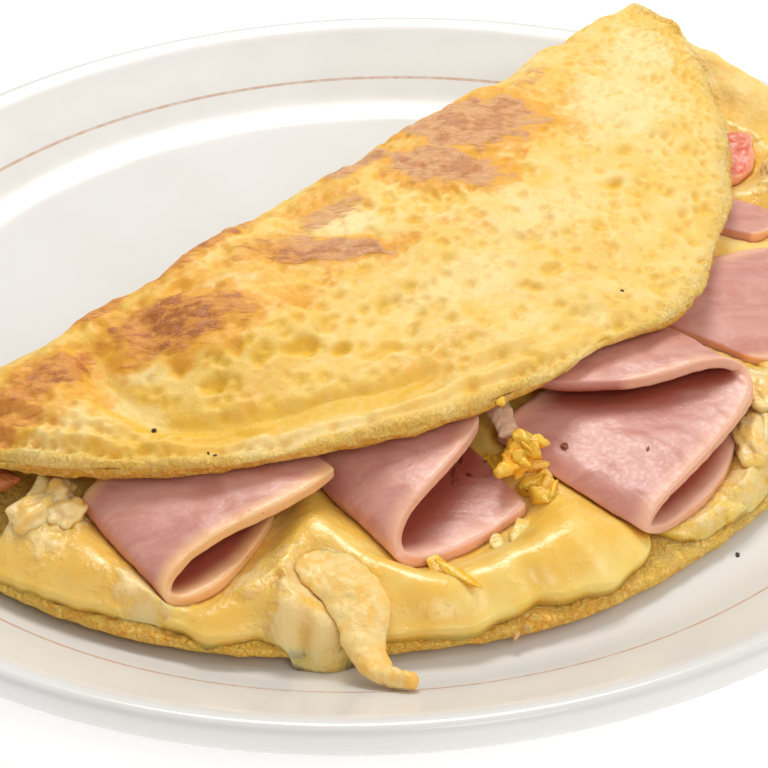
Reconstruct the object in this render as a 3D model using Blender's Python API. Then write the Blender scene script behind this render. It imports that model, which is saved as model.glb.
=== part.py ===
"""A ham and cheese omelette, folded once, on its round plate.

The plate stands on its foot ring at the world origin, +Z up. The food has its own
directions: s runs along the fold, t from the fold towards the open front, and z up.
Sizes below are in millimetres; meshes are made in metres.
"""
import math

import bpy
from mathutils import Vector, noise
from mathutils.bvhtree import BVHTree

MM = 0.001
SHARP_ANGLE = math.radians(50)

# ---- driving dimensions, mm -------------------------------------------------------
GAP = 0.45                 # clearance between touching pieces
PLATE_SEGMENTS = 56
# Plate section from the middle of the well, over the rim, to the middle of the underside.
PLATE_TOP = [(0, 6.3), (55, 6.3), (99, 6.4), (105, 8.0), (113, 12.5), (121, 17.0), (126.5, 20.2),
             (129, 21.2)]
PLATE_LIP = [(130.4, 20.4), (130.8, 17.8), (130, 15.2), (127, 13.6)]
PLATE_UNDER = [(113, 8.0), (99, 3.8), (80, 2.4), (78, 0), (73.5, 0), (72, 2.4), (0, 2.9)]

FOOD_TURN = math.radians(47)    # the fold's direction, from +X
FOOD_CENTRE = (-8.8, 18.8)      # middle of the omelette disc on the plate
DISC_RADIUS = 118               # the omelette before it was folded
DISC_SPREAD = [(-84, -3), (-70, 1), (-45, 2.2), (-28, 2), (-12, -0.5), (0, -2), (40, -2), (84, 4)]
BASE_THICK = 3.4
DRAPE = 2.2                     # the sheet starts up the rim this much before the plate does
FLAP_THICK = 4.0
FLAP_MIDDLE = 13                # where along s the flap reaches furthest
FLAP_REACH = 82
FLAP_LEFT, FLAP_RIGHT = 114, 109          # half lengths either side of the middle
FLAP_LEFT_POWER, FLAP_RIGHT_POWER = 1.8, 1.38
FOLD_DEPTH = 8                  # how far the fold bulges behind the flap's start
FOLD_STRETCH = 3                # how much further the fold itself runs at its right end
STATIONS = 36
LAST_STATION = math.radians(83)
BASE_STEPS, FOLD_STEPS, FLAP_STEPS = 8, 6, 11

# (s, value) knots along the fold
FOLD_LINE = [(-112, -5), (-86, -3), (-60, 1), (-45, 4), (60, 4), (86, 1), (105, -3), (118, -5)]
RIDGE_TOP = [(-112, 19), (-100, 25), (-86, 30), (-62, 33), (-46, 37), (-10, 37.5), (30, 38.5),
             (60, 38), (90, 36), (108, 33), (118, 30)]
EDGE_TOP = [(-106, 21), (-95, 26.5), (-78, 28), (-45, 30), (0, 30.8), (15, 30.2), (32, 28),
            (60, 26.5), (90, 26.5), (118, 28.5)]
# soft hollows and swells of the flap: s, t, radius, height
FLAP_RELIEF = [(-62, 24, 17, -3.2), (-30, 40, 22, -2.4), (10, 30, 24, 1.4), (60, 26, 20, 1.2),
               (-84, 12, 10, 1.6), (-20, 60, 12, 1.0), (88, 14, 12, -1.2), (-52, 12, 9, 1.2)]
NOTCH_PLACE, NOTCH_WIDTH, NOTCH_DEPTH = -3, 5, 5      # the torn bit in the flap's front edge

# how far the melted filling stops short of the base's edge, along s
FILLING_INSET = [(-117, 2), (-110, 1.5), (-100, 0.8), (-92, 1), (-84, 0.5), (-75, 0.3), (-66, 1),
                 (-50, 2.5), (-43, 4), (-37, 8), (-31, 10), (-24, 8), (-17, 6), (-10, 6), (-3, 3),
                 (20, 4), (117, 5)]
# the filling's height above the base, by distance in from its front
FILLING_RISE = [(0, 2.2), (3, 4.4), (12, 6.6), (26, 9.8), (36, 15), (46, 26)]
# lumps of curd in the filling: s, t, radius, height
FILLING_LUMPS = [(-95, 22, 8, 3.5), (-104, 24, 6, 2), (-90, 69, 7, 3), (-101, 52, 8, 1.5),
                 (-70, 72, 8, 1.5), (15, 100, 8, 2), (28, 106, 7, 1.5), (85, 62, 9, 2), (-8, 112, 6, 1)]
FILLING_STATIONS, FILLING_STEPS = 30, 15
# probes round a point of the filling that keep it clear of its neighbours
PROBES = [(2.8 * a, 2.8 * b) for a in range(-3, 4) for b in range(-3, 4)]

HAM_THICK = 2.2
HAM_ALONG = 5              # rows from a slice's mouth to its back end


# ---- helpers ----------------------------------------------------------------------
def place(s, t, z):
    """World position, in metres, of a point given in the food's directions."""
    x = FOOD_CENTRE[0] + s * math.cos(FOOD_TURN) + t * math.sin(FOOD_TURN)
    y = FOOD_CENTRE[1] + s * math.sin(FOOD_TURN) - t * math.cos(FOOD_TURN)
    return Vector((x, y, z)) * MM


def along(knots, x):
    """Smooth value at x through (x, value) knots."""
    if x <= knots[0][0]:
        return knots[0][1]
    for (x0, y0), (x1, y1) in zip(knots, knots[1:]):
        if x <= x1:
            f = (x - x0) / (x1 - x0)
            return y0 + (y1 - y0) * f * f * (3 - 2 * f)
    return knots[-1][1]


def straight(knots, x):
    """Value at x on straight lines through (x, value) knots."""
    for (x0, y0), (x1, y1) in zip(knots, knots[1:]):
        if x <= x1:
            return y0 + (y1 - y0) * (x - x0) / (x1 - x0)
    return knots[-1][1]


def mix(a, b, f):
    return a + (b - a) * f


def smooth_path(points, count):
    """Points spread evenly in number over a Catmull-Rom curve through the given ones."""
    pts = [Vector(p) for p in points]
    pts = [pts[0] * 2 - pts[1]] + pts + [pts[-1] * 2 - pts[-2]]
    path = []
    for k in range(count):
        u = k / (count - 1) * (len(points) - 1)
        i = min(int(u), len(points) - 2)
        f = u - i
        a, b, c, d = pts[i:i + 4]
        path.append(0.5 * (2 * b + (c - a) * f + (2 * a - 5 * b + 4 * c - d) * f * f
                           + (3 * b - a - 3 * c + d) * f ** 3))
    return path


def material(name, colour, roughness):
    mat = bpy.data.materials.new(name)
    mat.use_nodes = True
    shader = mat.node_tree.nodes["Principled BSDF"]
    shader.inputs["Base Color"].default_value = (*colour, 1)
    shader.inputs["Roughness"].default_value = roughness
    shader.inputs["Metallic"].default_value = 0
    return mat


def add_object(name, verts, faces, mat):
    """A closed mesh object of triangles, turned outwards, with its round parts shaded smooth."""
    mesh = bpy.data.meshes.new(name)
    triangles = [[face[0], b, c] for face in faces for b, c in zip(face[1:], face[2:])]
    mesh.from_pydata(verts, [], triangles)
    mesh.update()
    if signed_volume(mesh) < 0:
        mesh.flip_normals()
    mesh.shade_smooth()
    mesh.set_sharp_from_angle(angle=SHARP_ANGLE)
    mesh.materials.append(mat)
    obj = bpy.data.objects.new(name, mesh)
    bpy.context.collection.objects.link(obj)
    return obj


def signed_volume(mesh):
    total = 0.0
    for face in mesh.polygons:
        corners = [mesh.vertices[i].co for i in face.vertices]
        for b, c in zip(corners[1:], corners[2:]):
            total += corners[0].dot(b.cross(c))
    return total


def slab(name, upper, lower, mat):
    """A closed solid between two grids of points with the same rows and columns."""
    rows, cols = len(upper), len(upper[0])
    verts = [p for row in upper for p in row] + [p for row in lower for p in row]
    half = rows * cols

    def top(i, j):
        return i * cols + j

    faces = []
    for i in range(rows - 1):
        for j in range(cols - 1):
            quad = [top(i, j), top(i, j + 1), top(i + 1, j + 1), top(i + 1, j)]
            faces.append(quad)
            faces.append([half + quad[k] for k in (0, 3, 2, 1)])
    border = [top(0, j) for j in range(cols)]
    border += [top(i, cols - 1) for i in range(1, rows)]
    border += [top(rows - 1, j) for j in range(cols - 2, -1, -1)]
    border += [top(i, 0) for i in range(rows - 2, 0, -1)]
    for a, b in zip(border, border[1:] + border[:1]):
        faces.append([b, a, half + a, half + b])
    return add_object(name, verts, faces, mat)


def thickened(name, grid, thickness, mat):
    """A closed solid of a given thickness(i, j), in mm, about a grid of middle points."""
    rows, cols = len(grid), len(grid[0])
    upper, lower = [], []
    for i in range(rows):
        up_row, low_row = [], []
        for j in range(cols):
            across = grid[min(i + 1, rows - 1)][j] - grid[max(i - 1, 0)][j]
            onward = grid[i][min(j + 1, cols - 1)] - grid[i][max(j - 1, 0)]
            offset = across.cross(onward).normalized() * thickness(i, j) * MM / 2
            up_row.append(grid[i][j] + offset)
            low_row.append(grid[i][j] - offset)
        upper.append(up_row)
        lower.append(low_row)
    return slab(name, upper, lower, mat)


# ---- plate ------------------------------------------------------------------------
def build_plate():
    mat = material("plate_glaze", (0.83, 0.82, 0.79), 0.16)
    profile = PLATE_TOP + PLATE_LIP + PLATE_UNDER
    verts = [Vector((0, 0, profile[0][1] * MM))]
    for radius, z in profile[1:-1]:
        for k in range(PLATE_SEGMENTS):
            turn = 2 * math.pi * k / PLATE_SEGMENTS
            verts.append(Vector((radius * math.cos(turn), radius * math.sin(turn), z)) * MM)
    verts.append(Vector((0, 0, profile[-1][1] * MM)))
    rings = len(profile) - 2
    faces = []
    for k in range(PLATE_SEGMENTS):
        after = (k + 1) % PLATE_SEGMENTS
        faces.append([0, 1 + k, 1 + after])
        for ring in range(rings - 1):
            a = 1 + ring * PLATE_SEGMENTS
            b = a + PLATE_SEGMENTS
            faces.append([a + k, b + k, b + after, a + after])
        last = 1 + (rings - 1) * PLATE_SEGMENTS
        faces.append([last + k, len(verts) - 1, last + after])
    return add_object("plate", verts, faces, mat)


# ---- omelette ---------------------------------------------------------------------
def base_edge(turn):
    """The base's outline: a disc spread a little further on the left of the front."""
    radius = DISC_RADIUS + along(DISC_SPREAD, math.degrees(turn)) + 0.5 * math.sin(11 * turn)
    return radius * math.sin(turn), radius * math.cos(turn)


def flap_edge(turn):
    """The flap's outline: a half oval, longer on the left, with a torn notch in front."""
    length, power = (FLAP_RIGHT, FLAP_RIGHT_POWER) if turn > 0 else (FLAP_LEFT, FLAP_LEFT_POWER)
    s = FLAP_MIDDLE + math.copysign(length * abs(math.sin(turn)) ** (2 / power), turn)
    t = FLAP_REACH * math.cos(turn) ** (2 / power)
    t += 0.8 * math.sin(s / 9) + 0.5 * math.sin(s / 4.3 + 1)
    t -= NOTCH_DEPTH * math.exp(-((s - NOTCH_PLACE) / NOTCH_WIDTH) ** 2)
    return s, max(t, 1.5)


def rest_height(s, t):
    """Height of the base's underside where it lies on the plate, easing up the rim."""
    spot = place(s, t, 0)
    reach = math.hypot(spot.x, spot.y) / MM
    return straight(PLATE_TOP, reach + DRAPE) + GAP


def flap_top(s, t, reach):
    """Height of the flap's upper face, t from the fold, reach to its edge."""
    ridge, edge = along(RIDGE_TOP, s), along(EDGE_TOP, s)
    f = max(0.0, min(1.0, t / max(reach, 1)))
    top = mix(ridge, edge, f ** 1.35)
    for at_s, at_t, radius, height in FLAP_RELIEF:
        distance = math.hypot(s - at_s, t - at_t) / radius
        top += height * math.exp(-distance * distance) * math.sin(math.pi * min(f * 1.4, 1) * 0.5)
    return top


def omelette_section(turn):
    """Middle points of the sheet from the base's front edge, round the fold, to the flap's edge."""
    base_s, base_t = base_edge(turn)
    tip_s, tip_t = flap_edge(turn)
    fold_s = mix(base_s, tip_s, 0.85) + FOLD_STRETCH * max(math.sin(turn), 0) ** 12
    fold_t = along(FOLD_LINE, fold_s)
    section = []
    for k in range(BASE_STEPS):
        f = k / BASE_STEPS
        s, t = mix(base_s, fold_s, f), mix(max(base_t, fold_t + 2), fold_t, f)
        section.append((s, t, rest_height(s, t) + BASE_THICK / 2))
    low = rest_height(fold_s, fold_t) + BASE_THICK / 2
    high = max(along(RIDGE_TOP, fold_s) - FLAP_THICK / 2, low + FLAP_THICK + 2)
    bulge = min(FOLD_DEPTH, (high - low) * 0.6)
    for k in range(FOLD_STEPS):
        angle = math.pi * k / FOLD_STEPS
        depth = bulge * math.sin(angle)
        section.append((fold_s, fold_t - depth, mix(low, high, 0.5 - 0.5 * math.cos(angle))))
    reach = max(tip_t - fold_t, 2)
    for k in range(FLAP_STEPS + 1):
        f = k / FLAP_STEPS
        s, t = mix(fold_s, tip_s, f), mix(fold_t, max(tip_t, fold_t + 2), f)
        top = max(flap_top(s, t - fold_t, reach), along(RIDGE_TOP, s) * (1 - f))
        lift = rest_height(s, t) + BASE_THICK + FLAP_THICK + 1.2
        section.append((s, t, max(top, lift) - FLAP_THICK / 2))
    return section


def build_omelette():
    mat = material("egg", (0.86, 0.62, 0.22), 0.5)
    grid = []
    for i in range(STATIONS):
        turn = mix(-LAST_STATION, LAST_STATION, i / (STATIONS - 1))
        grid.append([place(*point) for point in omelette_section(turn)])
    last = len(grid[0]) - 1

    def thickness(i, j):
        full = BASE_THICK if j < BASE_STEPS else FLAP_THICK
        rim = min(i, STATIONS - 1 - i, j, last - j)
        return full * (0.75 if rim == 0 else 1)

    return thickened("omelette", grid, thickness, mat)


# ---- ham --------------------------------------------------------------------------
def ham_slice(name, mat, mouth, back, bow=0.0, thick=HAM_THICK):
    """A slice lofted from its open mouth to its hidden back end; bow lifts it half way."""
    across = 2 * len(mouth) - 1
    front, rear = smooth_path(mouth, across), smooth_path(back, across)
    grid = []
    for i in range(HAM_ALONG):
        f = i / (HAM_ALONG - 1)
        lift = Vector((0, 0, bow * 4 * f * (1 - f)))
        grid.append([place(*(a.lerp(b, f) + lift)) for a, b in zip(front, rear)])
    return thickened(name, grid, lambda i, j: thick, mat)


def build_hams():
    mat = material("ham", (0.80, 0.42, 0.36), 0.38)
    # folded once: lower leaf from the right, round the crease on the left, upper leaf back
    left = ham_slice(
        "ham_left", mat,
        mouth=[(-70, 53, 15.6), (-81, 57, 14.9), (-92, 58.5, 14.3), (-98.5, 56.5, 14.8), (-99.3, 54.5, 17.2),
               (-93.5, 53.5, 19.5), (-82.5, 55.5, 21.3), (-71, 59, 22.2), (-61, 59, 22.3)],
        back=[(-60, 28, 16), (-72, 26, 15.4), (-84, 25, 15), (-91, 25, 15.4), (-92.2, 25, 17.6),
              (-87, 25, 20), (-77, 26, 21.4), (-66, 28, 22.2), (-56, 30, 22.5)])
    middle = ham_slice(
        "ham_middle", mat,
        mouth=[(-39, 86, 14.4), (-49, 85.5, 13.8), (-58.5, 83, 13.6), (-64.5, 79.5, 14.6), (-64.5, 77, 17.2),
               (-60.5, 75.5, 20.2), (-53.5, 75, 22.4), (-43, 73.5, 23.4), (-33, 70.5, 23.6)],
        back=[(-26, 46, 16), (-37, 46, 15.6), (-49, 46, 15.2), (-57, 45, 15.8), (-57.5, 45, 18),
              (-55, 45, 20.4), (-48, 45, 22.2), (-38, 46, 23.2), (-28, 47, 23.4)])
    # folded twice: upper leaf, crease on the right, middle leaf, crease on the left, lower leaf
    right = ham_slice(
        "ham_right", mat,
        mouth=[(-16, 75.5, 24.2), (-7, 86, 24.6), (2, 91.5, 25.4), (7.5, 94.5, 25.6), (11.5, 98, 23.8),
               (9.5, 102, 21.2), (3, 104, 20.3), (-6, 105, 19.2), (-14, 105.5, 18.4), (-20, 105.8, 17.8),
               (-26, 106, 16.9), (-30.2, 106.6, 14.8), (-26, 107.8, 12.7), (-19, 108.6, 12.9),
               (-12, 108.6, 13.3), (-4, 106.5, 13.8), (4, 102.5, 14.4)],
        back=[(-24, 56, 23.6), (-13, 58, 24), (-1, 61, 24.2), (9, 64, 24.4), (15.5, 65.5, 23.2),
              (15.5, 68, 20.8), (9, 69, 19.8), (-2, 70, 19.6), (-11, 70, 19.4), (-18, 70, 19.1),
              (-24, 70, 18.6), (-27.8, 70.2, 16.8), (-24, 70.6, 14.6), (-18, 72, 14.4), (-12, 73, 14.6),
              (-3, 75, 15), (6, 77, 15.4)])
    # a flat half slice, tucked under the flap
    flat = ham_slice(
        "ham_flat", mat,
        mouth=[(24, 93, 16), (34, 101, 15), (45, 103, 14.6), (55, 100, 14.6), (63, 91, 15)],
        back=[(17, 66, 20.4), (26, 65, 20.8), (36, 66, 20.8), (47, 69, 20), (58, 73, 18.6)], bow=0.8)
    # a small red fold poking out near the far end, and a pale scrap below it
    tip = ham_slice(
        "ham_tip", mat,
        mouth=[(80, 49, 16.4), (86, 51, 16.6), (92, 49, 18.2), (97, 44, 20.8)],
        back=[(74, 41, 16.6), (80, 40, 17), (86, 38, 18.2), (91, 34, 19.6)])
    scrap = ham_slice(
        "ham_scrap", mat,
        mouth=[(62, 68, 17.6), (68, 69, 17), (75, 66, 16.6)],
        back=[(58, 59, 18.8), (65, 58, 18.4), (72, 56, 18)])
    return [left, middle, right, flat, tip, scrap]


# ---- small pieces -----------------------------------------------------------------
def lump(name, mat, middle, radii, turn, rough, seed):
    """An uneven rounded piece: a ball stretched to its three radii, turned and dented."""
    rings, sides = 5, 10
    verts = []
    for i in range(rings + 2):
        polar = math.pi * i / (rings + 1)
        for k in range(sides if 0 < i <= rings else 1):
            around = 2 * math.pi * k / sides
            ball = Vector((math.sin(polar) * math.cos(around), math.sin(polar) * math.sin(around),
                           math.cos(polar)))
            swell = 1 + rough * noise.noise(ball * 1.7 + Vector((seed, seed * 2, 0)))
            a, b, c = (ball[n] * radii[n] * swell for n in range(3))
            s = middle[0] + a * math.cos(turn) - b * math.sin(turn)
            t = middle[1] + a * math.sin(turn) + b * math.cos(turn)
            verts.append(place(s, t, middle[2] + c))
    faces = []
    for k in range(sides):
        after = (k + 1) % sides
        faces.append([0, 1 + k, 1 + after])
        for ring in range(rings - 1):
            a = 1 + ring * sides
            b = a + sides
            faces.append([a + k, b + k, b + after, a + after])
        last = 1 + (rings - 1) * sides
        faces.append([last + k, len(verts) - 1, last + after])
    return add_object(name, verts, faces, mat)


def strand(name, mat, route, widths, depth):
    """A flattened strip along a route, its width given at each end and between."""
    path, sides = smooth_path(route, 11), 8
    verts = []
    for k, point in enumerate(path):
        onward = (path[min(k + 1, len(path) - 1)] - path[max(k - 1, 0)]).normalized()
        side = onward.cross(Vector((0, 0, 1))).normalized()
        up = side.cross(onward)
        width = along(widths, k / (len(path) - 1))
        for n in range(sides):
            angle = 2 * math.pi * n / sides
            swing = side * math.cos(angle) * width / 2 + up * math.sin(angle) * min(depth, width) / 2
            verts.append(place(*(point + swing)))
    faces = [list(range(sides)), [len(verts) - 1 - n for n in range(sides)]]
    for k in range(len(path) - 1):
        for n in range(sides):
            after = (n + 1) % sides
            a, b = k * sides, (k + 1) * sides
            faces.append([a + after, a + n, b + n, b + after])
    return add_object(name, verts, faces, mat)


def build_small_pieces():
    cream = material("cooked_egg", (0.88, 0.72, 0.42), 0.45)
    gold = material("cheddar", (0.95, 0.62, 0.12), 0.4)
    cheese = material("cheese_slice", (0.93, 0.70, 0.34), 0.32)
    brown = material("bacon", (0.45, 0.15, 0.06), 0.5)
    pale = material("ham_pale", (0.85, 0.58, 0.44), 0.35)
    return [
        lump("bacon_left", brown, (-99, 7, 17.2), (6, 3, 2), math.radians(50), 0.3, 5),
        lump("cheddar", gold, (-34.5, 79.5, 19.5), (6, 3.2, 3), math.radians(-20), 0.8, 21),
        strand("pale_strip", pale, [(-24, 64, 21.3), (-26.5, 69, 21.2), (-30, 74.5, 20.3)],
               [(0, 6), (1, 4)], 1.8),
        strand("egg_strip", cream,
               [(-77, 66, 17.5), (-77, 72, 17.6), (-79, 79, 17), (-83, 86, 15), (-86.5, 91, 12.6),
                (-88, 95.5, 13.1), (-86.5, 100, 14.5)],
               [(0, 8), (0.25, 13), (0.5, 9), (0.75, 4.5), (1, 1.6)], 2.8),
        ham_slice("cheese_slice", cheese,
                  mouth=[(-14, 103.5, 15.8), (-8, 103, 16.2), (-2, 101, 16.7)],
                  back=[(-14, 86, 16.4), (-7, 86, 16.7), (0, 86, 17.1)], thick=1.2)]


# ---- filling ----------------------------------------------------------------------
def build_filling(base, resting):
    """Melted cheese and egg that fills the fold and hollows under each piece resting on it."""
    mat = material("cheese", (0.95, 0.70, 0.28), 0.28)
    sheet = tree_of(base)
    above = [tree_of(piece) for piece in resting]
    upper, lower = [], []
    for i in range(FILLING_STATIONS):
        turn = mix(-math.radians(76), math.radians(76), i / (FILLING_STATIONS - 1))
        edge_s, edge_t = base_edge(turn)
        inset = along(FILLING_INSET, edge_s)
        front_s, front_t = edge_s * (1 - inset / DISC_RADIUS), edge_t - inset * math.cos(turn)
        back_s = front_s * 0.97
        back_t = min(along(FOLD_LINE, back_s) + 2, front_t - 3)
        up_row, low_row = [], []
        for j in range(FILLING_STEPS):
            f = (j / (FILLING_STEPS - 1)) ** 0.8
            s, t = mix(back_s, front_s, f), mix(back_t, front_t, f)
            floor = ground(sheet, s, t, rest_height(s, t) + BASE_THICK)
            top = floor + straight(FILLING_RISE, math.hypot(front_s - s, front_t - t))
            top += sum(height * math.exp(-((s - at_s) ** 2 + (t - at_t) ** 2) / radius ** 2)
                       for at_s, at_t, radius, height in FILLING_LUMPS)
            top = min(top, ceiling(sheet, s, t, floor), *(ceiling(tree, s, t, floor) for tree in above))
            up_row.append(place(s, t, max(top, floor + 0.4)))
            low_row.append(place(s, t, floor))
        upper.append(up_row)
        lower.append(low_row)
    return slab("filling", upper, lower, mat)


def tree_of(obj):
    mesh = obj.data
    return BVHTree.FromPolygons([v.co for v in mesh.vertices], [list(p.vertices) for p in mesh.polygons])


def ground(tree, s, t, guess):
    """Highest point of the sheet below the filling near (s, t), plus the gap, in mm."""
    highest = guess
    for step_s, step_t in PROBES:
        hit = tree.ray_cast(place(s + step_s, t + step_t, guess + 1.5), Vector((0, 0, -1)))[0]
        if hit is not None:
            highest = max(highest, hit.z / MM)
    return highest + GAP


def ceiling(tree, s, t, floor):
    """Lowest underside of a solid above the floor near (s, t), less the gap, in mm."""
    lowest = 1000.0
    for step_s, step_t in PROBES:
        hit = tree.ray_cast(place(s + step_s, t + step_t, floor), Vector((0, 0, 1)))[0]
        if hit is not None:
            lowest = min(lowest, hit.z / MM - GAP)
    return lowest


def main():
    for obj in list(bpy.data.objects):
        bpy.data.objects.remove(obj, do_unlink=True)
    build_plate()
    omelette = build_omelette()
    resting = build_hams() + build_small_pieces()
    build_filling(omelette, resting)


main()
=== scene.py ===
"""The looks of the folded omelette: finishes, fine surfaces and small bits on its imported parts.

Sizes are in millimetres in the food's own directions, as in the part: s runs along the
fold, t from the fold towards the open front, and z up. Meshes are in metres.
"""
import math
from itertools import product

import bmesh
import bpy
import numpy as np
from mathutils import Matrix, Vector
from mathutils.bvhtree import BVHTree
from mathutils.kdtree import KDTree

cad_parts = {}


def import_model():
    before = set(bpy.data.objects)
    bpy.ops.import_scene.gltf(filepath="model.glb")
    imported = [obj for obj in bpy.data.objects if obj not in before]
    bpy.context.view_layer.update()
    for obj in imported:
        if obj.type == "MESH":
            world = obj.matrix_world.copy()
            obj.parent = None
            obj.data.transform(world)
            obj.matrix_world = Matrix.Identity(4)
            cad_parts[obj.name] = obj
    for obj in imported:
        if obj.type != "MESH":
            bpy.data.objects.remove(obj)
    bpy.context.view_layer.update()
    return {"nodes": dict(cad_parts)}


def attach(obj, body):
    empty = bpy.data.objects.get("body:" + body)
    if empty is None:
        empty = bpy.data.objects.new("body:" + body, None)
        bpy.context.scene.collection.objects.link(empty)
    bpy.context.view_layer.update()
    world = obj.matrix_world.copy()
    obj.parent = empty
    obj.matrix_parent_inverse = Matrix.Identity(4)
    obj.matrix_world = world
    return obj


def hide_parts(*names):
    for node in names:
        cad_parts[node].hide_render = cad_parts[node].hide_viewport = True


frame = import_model()

MM = 0.001
FOOD_TURN = math.radians(47)        # the fold's direction, from +X
FOOD_CENTRE = (-8.8, 18.8)          # middle of the omelette disc on the plate
DOWN, UP = Vector((0, 0, -1)), Vector((0, 0, 1))
FRONTWARD = Vector((math.sin(FOOD_TURN), -math.cos(FOOD_TURN), 0))
SHARP_ANGLE = math.radians(62)      # corners of CAD solids kept crisp
RIM_FACING = 0.7                    # how squarely a slice's end face points front or back

# ---- camera and light -------------------------------------------------------------
CAMERA_PLACE = Vector((0.002116, -0.353382, 0.243733))
CAMERA_TARGET = Vector((0.002116, -0.037084, 0.021185))
CAMERA_ROLL = math.radians(-1.9866)
CAMERA_LENS, CAMERA_SENSOR = 93.75, 36
# place, aim, size in metres, watts, colour
LIGHTS = {
    "key": ((0.0, 0.47, 0.76), (0, 0, 0), 0.4, 4.2, (1.0, 0.99, 0.97)),
    "side": ((0.72, -0.10, 0.55), (0, 0, 0), 0.45, 1.3, (1.0, 0.985, 0.96)),
    "front": ((0.20, -0.62, 0.60), (0, 0, 0), 0.3, 1.1, (1.0, 0.99, 0.97)),
}
SKY_COLOUR, SKY_STRENGTH = (1.0, 0.99, 0.975), 0.50
FLOOR_REACH = 3.0                   # half the floor's width, in metres
FLOOR_GLOW = 0.35                   # keeps the floor plain white in the plate's own shade

# ---- plate ------------------------------------------------------------------------
# Radius and height along its section: the upper face, the lip, and the underside
PLATE_TOP = [(0, 6.3), (55, 6.3), (92, 6.3), (98, 6.35), (101.5, 6.8), (105, 8.0), (109, 10.1), (113, 12.5),
             (117, 14.8), (121, 17.0), (124.5, 19.1), (127, 20.6), (128.6, 21.15), (129.5, 21.15)]
PLATE_LIP = [(130.3, 20.7), (130.7, 19.6), (130.8, 17.8), (130.6, 16.2), (129.6, 14.9), (127, 13.6)]
PLATE_UNDER = [(121, 11.2), (113, 8.0), (106, 5.6), (99, 3.8), (90, 2.9), (80.4, 2.5), (79, 2.2), (78.2, 1.2),
               (77.8, 0.35), (77, 0), (74.5, 0), (73.8, 0.35), (73.2, 1.6), (72, 2.4), (66, 2.7), (0, 2.9)]
PLATE_SIDES = 320
RING_RADIUS, RING_WIDTH = 112.6, 0.32  # the thin coloured line on its rim

# ---- omelette ---------------------------------------------------------------------
# The flap's outline: where it reaches furthest, and how far; then each end's length and roundness
FLAP_MIDDLE, FLAP_REACH = 13, 82
FLAP_LEFT, FLAP_RIGHT = 114, 109
FLAP_LEFT_POWER, FLAP_RIGHT_POWER = 1.8, 1.38
FLAP_LOWEST = 16.5                  # nothing of the flap's upper face lies lower
# Browned patches on the flap: s, t, half length, half width, turn from s in degrees, depth of colour
BROWN_PATCHES = [(-83, 4, 13, 5.5, 5, 0.78), (-94, 7, 7, 5, 20, 0.65), (-57, 13.5, 14, 7.6, 39, 1.0),
                 (-21, 21, 14, 3.6, 40, 1.0), (-27, 12, 9, 4, 30, 0.6), (-12, 12, 10, 3.5, 5, 0.55),
                 (36, 10, 16, 11.5, 25, 1.0), (18, 19, 13, 8, 55, 0.95), (6, 3, 10, 3.2, 0, 0.8),
                 (-36, 0, 16, 3.5, 3, 0.75), (-62, -3, 7, 3, 10, 0.8), (62, 6, 8, 3, -10, 0.35)]
# Golden, less fried areas round and between them: the same six values
GOLD_PATCHES = [(-38, 26, 9, 6, 30, 0.75), (-46, 8, 14, 6, 20, 0.6), (-30, 20, 22, 9, 35, 0.6),
                (-6, 6, 14, 6, 0, 0.7), (-84, 8, 20, 9, 10, 0.65), (60, 12, 14, 9, -15, 0.5),
                (0, 34, 14, 8, 20, 0.35), (48, 24, 14, 8, 10, 0.45), (86, 8, 12, 7, -10, 0.3),
                (10, 60, 16, 8, 10, 0.3), (-30, 58, 14, 6, 15, 0.35), (-58, 38, 10, 6, 20, 0.35)]
# Pale swells: the same six values
PALE_PATCHES = [(-75, 21, 10, 3, 85, 1.0), (-11, 17, 7, 5, 30, 1.0), (-43, 14, 7, 3, 30, 0.9),
                (-70, 14, 8, 4, 60, 0.8), (70, 26, 20, 12, -20, 0.8), (96, 12, 14, 9, -10, 0.8),
                (-60, 52, 16, 4, 30, 0.7), (20, 45, 18, 9, 10, 0.5), (-88, 18, 10, 6, 20, 0.5),
                (-8, 48, 12, 7, 20, 0.5)]
# The smooth hollow round the left dome: points along it, then its half width and depth
VALLEY = [(-71.5, 6), (-74, 12), (-75.6, 20), (-74.5, 28), (-71.5, 37), (-66, 42), (-58, 47),
          (-48, 54), (-36, 58)]
VALLEY_WIDTH, VALLEY_DEPTH = 4.2, 3.3
THINNEST = 0.9                      # what the hollows leave of the egg, in mm
DOME, DOME_HEIGHT = (-50, 24, 22, 17), 1.8  # the swell that it goes round: s, t, half sizes; height
BASE_CRUST = 116.5                  # radius at which the bottom layer turns to golden crust
LIP_WIDTH = 1.6                     # of the golden line under the flap's front edge
BLUSH_FROM, BLUSH_TO = -32, -18     # s at which the browned patches turn from orange to pinkish tan
# Burst bubbles: s, t, radius, depth
BUBBLES = [(-44.7, 36.5, 3.0, 1.6), (-40.3, 42, 2.0, 1.6), (-62.5, 30, 2.8, 1.4), (-54, 27.8, 2.2, 0.9),
           (-52, 33, 2.6, 0.8), (-50, 7.5, 2.6, 1.5), (-64, 22, 2.2, 0.7), (-34, 48, 2.2, 0.9),
           (52.8, 39.7, 2.2, 1.0), (30, 30, 2.2, 1.1), (-2, 27, 2.4, 0.8), (10, 48, 2.6, 0.9),
           (24, 54, 2.6, 0.8), (40, 46, 2.8, 0.9), (62, 34, 2.6, 0.8), (74, 22, 2.2, 0.8), (4, 58, 2.4, 1.0)]
BUBBLE_TURN = 0.6                   # direction of their long way, in radians
# Small pits all over the flap: how many, radii, depth of the widest, direction and its spread
PIT_COUNT, PIT_RADII, PIT_DEPTH = 1700, (0.6, 1.7), 0.95
PIT_TURN, PIT_TURN_SPREAD = 0.5, 0.6
# Ridges that follow the flap's front edge on the left: spacing, height, and reach from the edge
RIDGE_STEP, RIDGE_HEIGHT, RIDGE_REACH = 5.0, 0.75, 13

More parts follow.
